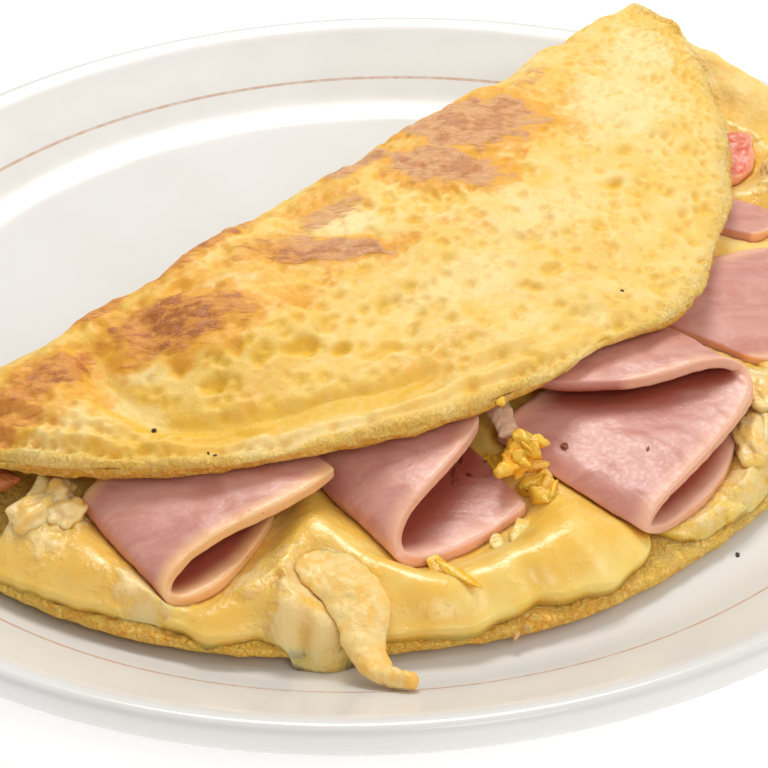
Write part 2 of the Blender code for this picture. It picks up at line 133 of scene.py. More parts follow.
# ---- ham and scraps ---------------------------------------------------------------
# How far apart a slice's facing leaves lie at most, for the painted shade inside its folds, and how many
# times that mask is softened
FOLD_GAP, FOLD_BLUR = 16, 60
# How far each slice's cut edge is peach, rather than pale pink
PEACH, PEACH_ELSE = {"ham_left": 1.0, "ham_middle": 0.25, "ham_right": 0.3}, 0.5
HAM_NODES = ("ham_left", "ham_middle", "ham_right", "ham_flat", "ham_scrap")
# Node, the record's slot, roughness, two colours that it varies between, and its corners' colour
SCRAPS = [("egg_strip", "cooked_egg", 0.42, (0.94, 0.56, 0.115), (0.95, 0.69, 0.28), (0.93, 0.50, 0.08)),
          ("pale_strip", "ham", 0.32, (0.92, 0.58, 0.40), (0.95, 0.70, 0.50), (0.95, 0.66, 0.46)),
          ("ham_tip", "ham", 0.3, (0.80, 0.17, 0.08), (0.86, 0.33, 0.21), (0.95, 0.50, 0.30)),
          ("cheddar", "cheddar", 0.35, (1.0, 0.49, 0.02), (1.0, 0.64, 0.09), (0.98, 0.46, 0.02)),
          ("bacon_left", "browned_ham", 0.45, (0.55, 0.13, 0.035), (0.72, 0.28, 0.09), (0.66, 0.20, 0.06)),
          ("cheese_slice", "melted_cheese", 0.34, (0.88, 0.62, 0.27), (0.92, 0.72, 0.40), (0.90, 0.64, 0.28))]
# How much a scrap is waved and roughened, in mm
SCRAP_SWELL, SCRAP_SWELL_ELSE = {"egg_strip": (1.2, 0.3), "cheddar": (0.9, 0.6)}, (0.5, 0.25)

# ---- small bits -------------------------------------------------------------------
CUT_DEPTH = 0.55                    # how far out from a lump's middle its flat faces lie, as a share
ABOVE_ALL = 60                      # a height that every piece lies under
FOLD_ROOF = 19                      # a height between the middle slice's two leaves
# s, t, then half sizes along, across and up, and turn in degrees
PEPPER = [(-76, 27.4, 0.55, 0.42, 0.4, 20), (-75.5, 41.4, 0.35, 0.2, 0.2, 60),
          (-76.3, 44, 0.4, 0.25, 0.2, -30), (8.9, 71.2, 0.42, 0.35, 0.3, 0),
          (-17.4, 117.8, 0.7, 0.4, 0.3, 40)]
HAM_FLECKS = [(-24.5, 83.3, 1.0, 0.7, 0.3, 30), (-16.4, 96.3, 0.6, 0.3, 0.2, 20),
              (-27.5, 76, 0.9, 0.4, 0.2, 60)]
FOLD_FLECKS = [(-37.1, 68.9, 1.3, 0.6, 0.25, 40), (-39.7, 72.9, 0.8, 0.4, 0.2, 90),
               (-42.7, 71.9, 1.1, 0.4, 0.2, 10), (-40.4, 70, 1.6, 0.5, 0.2, 30),
               (-34.9, 72.6, 0.5, 0.4, 0.2, 0)]
CRUMBS = [(-62.4, 102.5, 1.6, 0.5, 0.4, 25), (-60.6, 103, 0.7, 0.4, 0.4, -20)]
SHREDS = [(-62, 84.5, 5.5, 1.5, 0.5, 60), (-63.5, 90, 5.0, 1.2, 0.45, 85), (-59.5, 82.5, 3.5, 1.2, 0.4, 30)]
# Crumbled orange cheese lies along this line: how many bits, how widely, and their half sizes
CHEDDAR_PATH = [(-33, 71), (-32, 76), (-33.5, 81), (-34, 86), (-37, 88)]
CHEDDAR_COUNT, CHEDDAR_SPREAD, CHEDDAR_SIZES = 30, 1.3, (1.1, 2.6)
CREAM = [(-38.5, 71, 2.0, 1.4, 1.0, 10), (-30.5, 84, 3.2, 1.5, 0.8, 50), (-29, 80, 2.8, 1.3, 0.8, 70),
         (-46, 90, 5.4, 1.7, 0.32, 30), (-51, 89, 4.4, 1.5, 0.3, 60)]
CURDS = [(-101, 16.5, 5.6, 4.0, 2.8, 20), (-96, 14.5, 5.0, 4.0, 3.0, 70), (-91.5, 15, 4.6, 3.6, 2.6, 10),
         (-100.5, 22, 5.6, 3.8, 2.6, 0), (-94.5, 20, 5.2, 3.8, 2.8, 50), (-97, 26, 4.8, 3.4, 2.2, 20),
         (4.5, 106, 7.4, 3.8, 2.4, 30), (14, 101, 6.4, 4.2, 2.6, 60), (27, 96, 6.4, 4.0, 2.4, 20),
         (38, 90, 5.8, 4.0, 2.6, 0), (90, 56, 6.4, 4.0, 2.6, 30), (78, 70, 6.2, 4.0, 2.4, 10)]

# ---- filling ----------------------------------------------------------------------
FILLING_SPAN = 79                   # degrees either side of the open front
FILLING_STATIONS = 420
FILLING_ROWS = [0.7 * k for k in range(60)] + [42 + 6 * k for k in range(1, 12)]
ROW_GAP = 0.02                      # least step between its rows, where they crowd at the back
BACK_SHARE, BACK_T = 0.6, 9.0       # its back edge: s as a share of the front's, and t
# How far its front stops short of the base's edge, by direction in degrees from the front
FILLING_INSET = [(-90, 1.2), (-76, 0.6), (-70, 1.4), (-64, 3.2), (-60, 2.2), (-58, 0.6),
                 (-55.4, 0.4), (-53, 3.2), (-49.5, -0.8), (-47, -1.3), (-45.5, -0.4), (-42.4, 1.4),
                 (-40, 1.0), (-38, 0.5), (-36, 0.6), (-34.3, 1.0), (-31.2, 3.2), (-28.4, 4.2),
                 (-25.4, 2.6), (-22, 2.2), (-18.6, 3.0), (-15.7, 6.3), (-14.3, 10), (-12.6, 3.4),
                 (-8, 1.4), (-3, 1.0), (20, 2.5), (60, 3), (90, 3)]
FRONT_WOBBLE, FRONT_BLUR = 0.9, 7   # unevenness of its front, and stations it is softened over
# Its height above the base, by distance in from its front
FILLING_RISE = [(0, 0), (0.7, 1.6), (2, 3.0), (4.5, 4.6), (12, 7.4), (26, 10.8), (36, 15), (46, 26),
                (120, 30)]
# Lumps: s, t, radius, height, how curdy
FILLING_LUMPS = [(-97, 17, 5.0, 1.2, 1.0), (-92.5, 16, 4.0, 1.0, 1.0), (-103, 21, 4.5, 0.8, 1.0),
                 (-96, 26, 4.5, 0.8, 1.0), (-105, 29, 4, 1.0, 0.7), (-101, 48, 4.2, 1.5, 1.0),
                 (-98.5, 54, 4.0, 1.6, 1.0), (-104, 53, 3.6, 1.2, 0.9), (-87.5, 62, 4.5, 2.6, 0.8),
                 (-84, 72, 5.0, 2.8, 1.0), (-91, 75, 4.2, 2.2, 1.0), (-87, 80, 3.8, 1.6, 1.0),
                 (-80, 65, 5.0, 2.2, 0.5), (-94, 40, 8, 1.4, 0), (-103, 38, 7, 1.4, 0), (-94, 57, 6, 1.4, 0),
                 (-68, 88, 8, 1.6, 0), (-52, 97, 8, 1.8, 0), (-42, 99, 7, 1.6, 0), (-60, 80, 8, 1.0, 0),
                 (-18, 110, 6, 1.4, 0.6), (-6, 111, 6, 1.6, 0.7), (6, 106, 7, 2.0, 0.7),
                 (16, 100, 8, 2.2, 0.6), (26, 104, 7, 1.8, 0.8), (85, 62, 8, 2.4, 0.6),
                 (70, 78, 8, 1.8, 0.5), (100, 42, 7, 2.2, 0.5)]
# Holes: s, t, radius, depth
FILLING_HOLES = [(-84.2, 67.3, 2.3, 3.2), (-95, 21, 1.6, 2.0), (-89.5, 78, 1.4, 1.8), (-100, 30, 2.0, 1.4),
                 (-47, 93, 1.6, 0.8)]
PAINTED_SHADE_LEFT = 0.5                   # how much painted shade darkens its left end
IN_FOLD = 18.0                      # a height between the base and the flap
BASE_GAP, PIECE_GAP = 0.15, 0.1     # air under it, and between it and a piece above it
THINNEST_FILLING = 0.12
DRAPE_ROWS = 4                      # rows of its grid that a step under it is softened over
EASE_SLOPE, EASE_ROUNDS = 0.55, 20  # how steeply it may rise beside a piece that lies on it
CURDY_FROM, SOFTEN_ROUNDS = 0.3, 40  # curdier places stay rough, and the rest is softened this often

RNG = np.random.default_rng(11)
NOISE_SIZE = 256
NOISE_ORDER = RNG.permutation(NOISE_SIZE)
NOISE_SLOPES = RNG.normal(size=(NOISE_SIZE, 3))
NOISE_SLOPES /= np.linalg.norm(NOISE_SLOPES, axis=1)[:, None]


# ---- places -----------------------------------------------------------------------
def world(s, t, z):
    """World points, in metres, of places given in the food's directions."""
    x = FOOD_CENTRE[0] + s * math.cos(FOOD_TURN) + t * math.sin(FOOD_TURN)
    y = FOOD_CENTRE[1] + s * math.sin(FOOD_TURN) - t * math.cos(FOOD_TURN)
    return np.stack(np.broadcast_arrays(x, y, z), axis=-1) * MM


def food(points):
    """s, t and z, in mm, of world points."""
    x, y = points[:, 0] / MM - FOOD_CENTRE[0], points[:, 1] / MM - FOOD_CENTRE[1]
    s = x * math.cos(FOOD_TURN) + y * math.sin(FOOD_TURN)
    t = x * math.sin(FOOD_TURN) - y * math.cos(FOOD_TURN)
    return s, t, points[:, 2] / MM


def knots(pairs, x):
    """Values at x on straight lines through (x, value) pairs."""
    at, values = zip(*pairs)
    return np.interp(x, at, values)


def step(low, high, x):
    """A smooth change from 0 at low to 1 at high, which may be the smaller number."""
    f = np.clip((x - low) / (high - low), 0, 1)
    return f * f * (3 - 2 * f)


def noise(points, size, seed=0):
    """Smooth noise of about -1 to 1 at points in mm, with features size mm across."""
    spot = points / size + seed * 31.7
    cell = np.floor(spot).astype(np.int64)
    part = spot - cell
    ease = part ** 3 * (part * (part * 6 - 15) + 10)
    total = np.zeros(len(points))
    for corner in product((0, 1), repeat=3):
        corner = np.array(corner)
        i, j, k = (cell + corner).T
        pick = NOISE_ORDER[i % NOISE_SIZE]
        pick = NOISE_ORDER[(pick + j) % NOISE_SIZE]
        pick = NOISE_ORDER[(pick + k) % NOISE_SIZE]
        weight = np.where(corner, ease, 1 - ease).prod(axis=1)
        total += weight * ((part - corner) * NOISE_SLOPES[pick]).sum(axis=1)
    return total * 1.7


def rough_noise(points, size, seed=0, octaves=3):
    """Noise with finer and finer detail added."""
    return sum(noise(points, size / 2 ** n, seed + n) / 1.8 ** n for n in range(octaves))


def patches(s, t, rows, wobble):
    """0 to 1 inside any of the turned ovals in rows, with edges moved by wobble."""
    best = np.zeros(len(s))
    for at_s, at_t, length, width, turn, depth in rows:
        c, n = math.cos(math.radians(turn)), math.sin(math.radians(turn))
        along, across = (s - at_s) * c + (t - at_t) * n, (t - at_t) * c - (s - at_s) * n
        reach = np.hypot(along / length, across / width) + wobble
        best = np.maximum(best, depth * (1 - step(0.55, 1.25, reach)))
    return best


# ---- meshes -----------------------------------------------------------------------
def new_object(name, mesh):
    obj = bpy.data.objects.new(name, mesh)
    bpy.context.scene.collection.objects.link(obj)
    return obj


def points_of(obj):
    co = np.empty(len(obj.data.vertices) * 3)
    obj.data.vertices.foreach_get("co", co)
    return co.reshape(-1, 3)


def normals_of(obj):
    out = np.empty(len(obj.data.vertices) * 3)
    obj.data.vertex_normals.foreach_get("vector", out)
    return out.reshape(-1, 3)


def set_points(obj, co):
    obj.data.vertices.foreach_set("co", np.ascontiguousarray(co).ravel())
    obj.data.update()


def set_mask(obj, name, values):
    """Stores one number for each vertex, which the materials read by name."""
    layer = obj.data.attributes.get(name) or obj.data.attributes.new(name, "FLOAT", "POINT")
    layer.data.foreach_set("value", np.full(len(obj.data.vertices), values, np.float32))


def refined(node, levels, crease=0.0):
    """A smooth, finer copy of a CAD node; its mask rim is 1 on end faces square to the open front."""
    bm = bmesh.new()
    bm.from_mesh(frame["nodes"][node].data)
    bmesh.ops.remove_doubles(bm, verts=bm.verts, dist=0.01 * MM)
    bmesh.ops.join_triangles(bm, faces=bm.faces, angle_face_threshold=math.pi,
                             angle_shape_threshold=math.pi)
    creases = bm.edges.layers.float.new("crease_edge")
    rim = bm.verts.layers.float.new("rim")
    for edge in bm.edges:
        if edge.calc_face_angle(0) > SHARP_ANGLE:
            edge[creases] = crease
    for face in bm.faces:
        if abs(face.normal.dot(FRONTWARD)) > RIM_FACING:
            for vert in face.verts:
                vert[rim] = 1
    mesh = bpy.data.meshes.new(node + "_fine")
    bm.to_mesh(mesh)
    bm.free()
    obj = new_object(node + "_look", mesh)
    smoother = obj.modifiers.new("smoother", "SUBSURF")
    smoother.levels = levels
    smoother.boundary_smooth = "PRESERVE_CORNERS"
    shown = obj.evaluated_get(bpy.context.evaluated_depsgraph_get())
    fine = bpy.data.meshes.new_from_object(shown)
    obj.modifiers.clear()
    obj.data = fine
    return obj


def cut_finer(obj, chosen, cuts):
    """Cuts the faces picked by a true or false for each face into smaller ones."""
    bm = bmesh.new()
    bm.from_mesh(obj.data)
    edges = {edge for face, wanted in zip(bm.faces, chosen) if wanted for edge in face.edges}
    bmesh.ops.subdivide_edges(bm, edges=list(edges), cuts=cuts, use_grid_fill=True)
    bm.to_mesh(obj.data)
    bm.free()


def face_values(obj, values):
    """The mean of vertex values over each face, for a mesh array of any width."""
    starts = np.empty(len(obj.data.polygons), np.int32)
    obj.data.polygons.foreach_get("loop_start", starts)
    corners = np.empty(len(obj.data.loops), np.int32)
    obj.data.loops.foreach_get("vertex_index", corners)
    sums = np.add.reduceat(values[corners], starts, axis=0)
    counts = np.diff(np.append(starts, len(corners)))
    return sums / (counts if values.ndim == 1 else counts[:, None])


def tree_of(obj):
    return BVHTree.FromPolygons([v.co for v in obj.data.vertices],
                                [list(p.vertices) for p in obj.data.polygons])


def dress(obj, look, slot, *nodes):
    """Gives a finished piece its material and its place in the frame."""
    obj.data.materials.clear()
    obj.data.materials.append(look)
    obj.data.shade_smooth()
    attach(obj, "root")
    if nodes:
        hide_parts(*nodes)
    return obj


def grid_solid(name, upper, lower):
    """A closed mesh between two grids of points, shaped (rows, columns, 3)."""
    rows, cols = upper.shape[:2]
    index = np.arange(rows * cols).reshape(rows, cols)
    half = rows * cols
    quads = np.stack([index[:-1, :-1], index[:-1, 1:], index[1:, 1:], index[1:, :-1]], axis=-1)
    quads = quads.reshape(-1, 4)
    border = np.concatenate([index[0, :-1], index[:-1, -1], index[-1, :0:-1], index[:0:-1, 0]])
    after = np.roll(border, -1)
    walls = np.stack([after, border, border + half, after + half], axis=-1)
    faces = np.concatenate([quads, quads[:, ::-1] + half, walls])
    mesh = bpy.data.meshes.new(name)
    verts = np.concatenate([upper.reshape(-1, 3), lower.reshape(-1, 3)])
    mesh.from_pydata(verts.tolist(), [], faces.tolist())
    mesh.update()
    return new_object(name, mesh)


# ---- materials --------------------------------------------------------------------
class Look:
    """A Principled material and short ways to add procedural detail to it."""

    def __init__(self, name, roughness, **constants):
        self.material = bpy.data.materials.new(name)
        self.material.use_nodes = True
        self.nodes, self.links = self.material.node_tree.nodes, self.material.node_tree.links
        self.shader = self.nodes["Principled BSDF"]
        self.shader.inputs["Roughness"].default_value = roughness
        for socket, value in constants.items():
            self.shader.inputs[socket.replace("_", " ")].default_value = value
        self.place = self.nodes.new("ShaderNodeTexCoord").outputs["Object"]
        self.height = None

    def connect(self, value, socket):
        if isinstance(value, (int, float)):
            socket.default_value = value
        elif isinstance(value, tuple):
            socket.default_value = (*value, 1)
        else:
            self.links.new(value, socket)

    def mask(self, name):
        node = self.nodes.new("ShaderNodeAttribute")
        node.attribute_name = name
        return node.outputs["Fac"]

    def noise(self, size, detail=3.0, stretch=(1, 1, 1), warp=0.0):
        """Noise from 0 to 1, with features size mm across."""
        mapping = self.nodes.new("ShaderNodeMapping")
        self.links.new(self.place, mapping.inputs["Vector"])
        mapping.inputs["Rotation"].default_value = (0, 0, -FOOD_TURN)
        mapping.inputs["Scale"].default_value = stretch
        node = self.nodes.new("ShaderNodeTexNoise")
        self.links.new(mapping.outputs["Vector"], node.inputs["Vector"])
        node.inputs["Scale"].default_value = 1 / (size * MM)
        node.inputs["Detail"].default_value = detail
        node.inputs["Distortion"].default_value = warp
        return node.outputs["Fac"]

    def cells(self, size):
        """Distance to the nearest of scattered points size mm apart, in cell widths."""
        node = self.nodes.new("ShaderNodeTexVoronoi")
        self.links.new(self.place, node.inputs["Vector"])
        node.inputs["Scale"].default_value = 1 / (size * MM)
        return node.outputs["Distance"]

    def math(self, what, a, b=0.0, clamp=False):
        node = self.nodes.new("ShaderNodeMath")
        node.operation, node.use_clamp = what, clamp
        self.connect(a, node.inputs[0])
        self.connect(b, node.inputs[1])
        return node.outputs[0]

    def rise(self, value, low, high, to_low=0.0, to_high=1.0):
        """A smooth rise from to_low to to_high as value goes from low to high."""
        node = self.nodes.new("ShaderNodeMapRange")
        node.interpolation_type = "SMOOTHSTEP"
        self.connect(value, node.inputs["Value"])
        limits = {"From Min": low, "From Max": high, "To Min": to_low, "To Max": to_high}
        for socket, number in limits.items():
            node.inputs[socket].default_value = number
        return node.outputs["Result"]

    def mix(self, share, a, b):
        """Colour a, turning into colour b as share goes to 1."""
        node = self.nodes.new("ShaderNodeMix")
        node.data_type = "RGBA"
        self.connect(share, node.inputs[0])
        self.connect(a, node.inputs[6])
        self.connect(b, node.inputs[7])
        return node.outputs[2]

    def colour(self, value):
        self.connect(value, self.shader.inputs["Base Color"])

    def roughness(self, value):
        self.connect(value, self.shader.inputs["Roughness"])

    def bump(self, height, depth, strength=1.0):
        """Adds relief depth mm deep."""
        node = self.nodes.new("ShaderNodeBump")
        node.inputs["Strength"].default_value = strength
        node.inputs["Distance"].default_value = depth * MM
        self.connect(height, node.inputs["Height"])
        if self.height:
            self.links.new(self.height, node.inputs["Normal"])
        self.height = node.outputs["Normal"]
        self.links.new(self.height, self.shader.inputs["Normal"])


def egg_look():
    look = Look("egg", 0.48, Subsurface_Weight=0.45, Subsurface_Scale=0.0018, Coat_Weight=0.06,
                Coat_Roughness=0.35)
    look.shader.inputs["Subsurface Radius"].default_value = (1.0, 0.62, 0.25)
    blotch, fine, grain = look.noise(7, 4, warp=0.6), look.noise(1.6, 4), look.noise(0.45, 2)
    colour = look.mix(look.rise(blotch, 0.36, 0.68), (0.90, 0.585, 0.125), (0.94, 0.68, 0.24))
    colour = look.mix(look.math("MULTIPLY", look.mask("pale"), look.rise(fine, 0.2, 0.6, 0.5, 1.0)), colour,
                      (0.95, 0.75, 0.36))
    # deep: painted shade in the hollows and on the left, and the bottom layer's own deeper tone
    colour = look.mix(look.mask("deep"), colour, (0.84, 0.50, 0.03))
    gold = look.math("ADD", look.mask("gold"), look.rise(blotch, 0.3, 0.7, -0.2, 0.2), clamp=True)
    gold = look.math("ADD", gold, look.rise(fine, 0.3, 0.7, -0.12, 0.12), clamp=True)
    spotty = look.rise(look.noise(1.3, 5, warp=0.3), 0.42, 0.62, 0.0, 0.45)
    gold = look.math("SUBTRACT", gold, look.math("MULTIPLY", spotty, look.mask("crumb")), clamp=True)
    colour = look.mix(look.rise(gold, 0.15, 0.95), colour, (0.84, 0.41, 0.035))
    streak = look.noise(1.8, 5, stretch=(0.3, 1.5, 1), warp=0.4)
    brown = look.math("ADD", look.mask("brown"), look.rise(streak, 0.3, 0.7, -0.22, 0.22))
    tan = look.mix(look.mask("blush"), (0.76, 0.31, 0.045), (0.76, 0.40, 0.17))
    colour = look.mix(look.rise(brown, 0.26, 0.66), colour, tan)
    dark = look.math("ADD", brown, look.rise(look.noise(4.5, 3, warp=0.4), 0.35, 0.7, -0.3, 0.2))
    char = look.mix(look.mask("blush"), (0.44, 0.125, 0.02), (0.56, 0.22, 0.075))
    colour = look.mix(look.rise(dark, 0.62, 1.1, 0.0, 0.9), colour, char)
    flake = look.math("MULTIPLY", look.rise(grain, 0.5, 0.75), look.rise(brown, 0.3, 0.8, 0.0, 0.4))
    colour = look.mix(flake, colour, (0.86, 0.52, 0.20))
    look.colour(colour)
    look.roughness(look.rise(fine, 0.3, 0.7, 0.46, 0.66))
    look.bump(fine, 0.22)
    look.bump(grain, 0.06)
    look.bump(look.math("MULTIPLY", streak, look.rise(brown, 0.1, 1.0)), 0.7)
    crumb = look.math("MULTIPLY", look.rise(look.noise(1.1, 5), 0.35, 0.65), look.mask("crumb"))
    look.bump(crumb, 0.6)
    return look.material


def cheese_look():
    look = Look("melted_cheese", 0.3, Subsurface_Weight=0.55, Subsurface_Scale=0.0030, Coat_Weight=0.25,
                Coat_Roughness=0.25)
    look.shader.inputs["Subsurface Radius"].default_value = (1.0, 0.68, 0.28)
    blotch, fine, grain = look.noise(9, 3, warp=0.5), look.noise(2.2, 4), look.noise(0.6, 3)
    colour = look.mix(look.rise(blotch, 0.35, 0.68), (0.96, 0.58, 0.09), (0.98, 0.68, 0.19))
    curd = look.math("ADD", look.mask("curd"), look.rise(fine, 0.3, 0.7, -0.25, 0.25), clamp=True)
    colour = look.mix(look.rise(curd, 0.2, 0.75), colour, (0.95, 0.69, 0.30))
    # painted shade: the deep mask darkens the filling in its holes and towards its left end
    colour = look.mix(look.math("MULTIPLY", look.mask("deep"), 0.8), colour, (0.72, 0.42, 0.07))
    look.colour(colour)
    look.roughness(look.rise(curd, 0.1, 0.8, 0.28, 0.45))
    look.bump(look.math("MULTIPLY", fine, look.rise(curd, 0.0, 0.8, 0.12, 1.0)), 0.55)
    look.bump(look.math("MULTIPLY", grain, look.rise(curd, 0.0, 0.8, 0.1, 1.0)), 0.12)
    return look.material


def ham_look():
    look = Look("ham", 0.3, Subsurface_Weight=0.4, Subsurface_Scale=0.0020, Coat_Weight=0.12,
                Coat_Roughness=0.25)
    look.shader.inputs["Subsurface Radius"].default_value = (1.0, 0.38, 0.26)
    cloud, grain = look.noise(8, 4, stretch=(0.7, 1.6, 1), warp=0.8), look.noise(0.9, 4)
    colour = look.mix(look.rise(cloud, 0.35, 0.68), (0.61, 0.26, 0.205), (0.71, 0.36, 0.29))
    # painted sheen: lighter flecks along the meat's grain
    colour = look.mix(look.rise(grain, 0.55, 0.8, 0.0, 0.3), colour, (0.82, 0.53, 0.43))
    # painted shade: faces inside a slice's fold turn dark red
    colour = look.mix(look.rise(look.mask("fold_shade"), 0.05, 0.5, 0.0, 0.95), colour, (0.42, 0.085, 0.045))
    edge = look.mix(look.mask("peach"), (0.88, 0.50, 0.40), (1.0, 0.60, 0.27))
    colour = look.mix(look.rise(look.mask("rim"), 0.45, 1.0, 0.0, 0.85), colour, edge)
    speck = look.math("LESS_THAN", look.cells(4.5), 0.06)
    colour = look.mix(look.math("MULTIPLY", speck, 0.4), colour, (0.42, 0.12, 0.06))
    look.colour(colour)
    look.roughness(look.rise(grain, 0.3, 0.7, 0.30, 0.46))
    look.bump(grain, 0.07)
    look.bump(cloud, 0.22)
    return look.material


def bit_look(name, roughness, low, high, edge):
    """A food scrap that varies between two colours, with a third on its corners."""
    look = Look(name, roughness, Subsurface_Weight=0.35, Subsurface_Scale=0.0018, Coat_Weight=0.1,
                Coat_Roughness=0.3)
    look.shader.inputs["Subsurface Radius"].default_value = (1.0, 0.6, 0.3)
    cloud, grain = look.noise(3.5, 4, warp=0.6), look.noise(0.8, 3)
    colour = look.mix(look.rise(cloud, 0.3, 0.7), low, high)
    colour = look.mix(look.rise(look.mask("rim"), 0.4, 1.0, 0.0, 0.7), colour, edge)
    look.colour(colour)
    look.roughness(look.rise(grain, 0.3, 0.7, roughness - 0.07, roughness + 0.1))
    look.bump(cloud, 0.5)
    look.bump(grain, 0.18)
    return look.material


def plate_look():
    look = Look("plate_glaze", 0.2, Specular_IOR_Level=0.4, Coat_Weight=0.15, Coat_Roughness=0.1)
    split = look.nodes.new("ShaderNodeVectorMath")
    split.operation = "MULTIPLY"
    look.links.new(look.place, split.inputs[0])
    split.inputs[1].default_value = (1000, 1000, 0)
    length = look.nodes.new("ShaderNodeVectorMath")
    length.operation = "LENGTH"
    look.links.new(split.outputs[0], length.inputs[0])
    off = look.math("ABSOLUTE", look.math("SUBTRACT", length.outputs["Value"], RING_RADIUS))
    wear = look.noise(2.5, 3)
    ring = look.math("MULTIPLY", look.rise(off, RING_WIDTH * 0.6, RING_WIDTH * 1.5, 1.0, 0.0),
                     look.rise(wear, 0.3, 0.6, 0.4, 0.7))
    glaze = look.mix(look.rise(look.noise(30, 2), 0.3, 0.7), (0.78, 0.765, 0.73), (0.80, 0.79, 0.765))
    look.colour(look.mix(ring, glaze, (0.56, 0.28, 0.16)))
    look.roughness(look.rise(look.noise(12, 3), 0.3, 0.7, 0.17, 0.24))
    look.bump(look.noise(14, 2), 0.12, 0.4)
    return look.material


# ---- plate ------------------------------------------------------------------------
def build_plate():
    """The plate's section turned round the world's Z."""
    section = PLATE_TOP + PLATE_LIP + PLATE_UNDER
    turns = np.linspace(0, 2 * math.pi, PLATE_SIDES, endpoint=False)
    verts = [(0, 0, section[0][1] * MM)]
    for radius, z in section[1:-1]:
        verts += [(radius * MM * math.cos(a), radius * MM * math.sin(a), z * MM) for a in turns]
    verts.append((0, 0, section[-1][1] * MM))
    faces = []
    rings = len(section) - 2
    for k in range(PLATE_SIDES):
        after = (k + 1) % PLATE_SIDES
        faces.append((0, 1 + k, 1 + after))
        for ring in range(rings - 1):
            a = 1 + ring * PLATE_SIDES
            b = a + PLATE_SIDES
            faces.append((a + k, b + k, b + after, a + after))
        last = 1 + (rings - 1) * PLATE_SIDES
        faces.append((last + k, len(verts) - 1, last + after))
    mesh = bpy.data.meshes.new("plate_turned")
    mesh.from_pydata(verts, [], faces)
    mesh.update()
    return dress(new_object("plate_look", mesh), plate_look(), "plate_glaze", "plate")


# ---- omelette ---------------------------------------------------------------------
def flap_inset(s, t):
    """Distance in from the flap's outline, in mm, along the line to its middle."""
    power = np.where(s > FLAP_MIDDLE, FLAP_RIGHT_POWER, FLAP_LEFT_POWER)
    length = np.where(s > FLAP_MIDDLE, FLAP_RIGHT, FLAP_LEFT)
    share = (np.abs(s - FLAP_MIDDLE) / length) ** power + (np.maximum(t, 0) / FLAP_REACH) ** power
    share = share ** (1 / power)
    return np.hypot(s - FLAP_MIDDLE, t) * (1 / np.maximum(share, 0.01) - 1)


def path_distance(s, t, path):
    """Distance from each place to a line of points."""
    best = np.full(len(s), np.inf)
    for (s0, t0), (s1, t1) in zip(path, path[1:]):
        ds, dt = s1 - s0, t1 - t0
        f = np.clip(((s - s0) * ds + (t - t0) * dt) / (ds * ds + dt * dt), 0, 1)
        best = np.minimum(best, np.hypot(s - s0 - f * ds, t - t0 - f * dt))
    return best


def pits_of(co, scatter):
    """How deep each point lies in a scatter of oval pits: rows of point, radius, turn, depth."""
    tree = KDTree(len(co))
    for i, point in enumerate(co):
        tree.insert(point, i)
    tree.balance()
    depth = np.zeros(len(co))
    for point, radius, turn, deep in scatter:
        found = tree.find_range(point, radius * 2)
        if not found:
            continue
        ids = np.array([i for _, i, _ in found])
        off = co[ids] - point
        long_way = np.array((math.cos(turn), math.sin(turn), 0))
        along = off @ long_way
        reach = np.sqrt((along / 1.5) ** 2 + np.maximum((off ** 2).sum(1) - along ** 2, 0)) / radius
        depth[ids] = np.maximum(depth[ids], deep * (1 - step(0.15, 1.0, reach)))
    return depth


def thickness(obj, co, out):
    """How thick a piece is below each of its points, in mm."""
    tree = tree_of(obj)
    deep = np.full(len(co), np.inf)
    for i in range(len(co)):
        way = -Vector(out[i])
        hit = tree.ray_cast(Vector(co[i]) + way * 0.1 * MM, way, 12 * MM)
        if hit[0] is not None:
            deep[i] = hit[3] / MM
    return deep


def heights_at(obj, places):
    """The highest point of a piece at each (s, t), in mm."""
    tree = tree_of(obj)
    found = []
    for s, t in places:
        hit = tree.ray_cast(Vector(world(s, t, ABOVE_ALL)), DOWN)[0]
        found.append(hit.z / MM if hit else 0.0)
    return found


def egg_mesh():
    """The omelette's fine copy, with its open face and its crust cut finer still."""
    obj = refined("omelette", 2, crease=0.25)
    for crust, cuts in ((False, 2), (True, 1)):
        s, t, z = food(face_values(obj, points_of(obj)))
        facing = face_values(obj, normals_of(obj))[:, 2]
        if crust:
            chosen = (z <= FLAP_LOWEST) & (facing > -0.2) & (np.hypot(s, t) > 99) & (t > 8)
        else:
            chosen = (z > FLAP_LOWEST) & (facing > -0.3) & (t > -6)
        cut_finer(obj, chosen, cuts)
    return obj


def egg_pits(obj, mm, open_face):
    """How deep each point lies in the small pits, and how deep in the burst bubbles."""
    picks = RNG.choice(np.flatnonzero(open_face), PIT_COUNT)
    radii = RNG.uniform(*PIT_RADII, PIT_COUNT)
    turns = FOOD_TURN + RNG.normal(PIT_TURN, PIT_TURN_SPREAD, PIT_COUNT)
    pits = [(mm[i], radius, turn, PIT_DEPTH * radius / PIT_RADII[1])
            for i, radius, turn in zip(picks, radii, turns)]
    heights = heights_at(obj, [row[:2] for row in BUBBLES])
    bubbles = [(world(s, t, z) / MM, radius, BUBBLE_TURN, depth)
               for (s, t, radius, depth), z in zip(BUBBLES, heights)]
    return pits_of(mm, pits), pits_of(mm, bubbles)


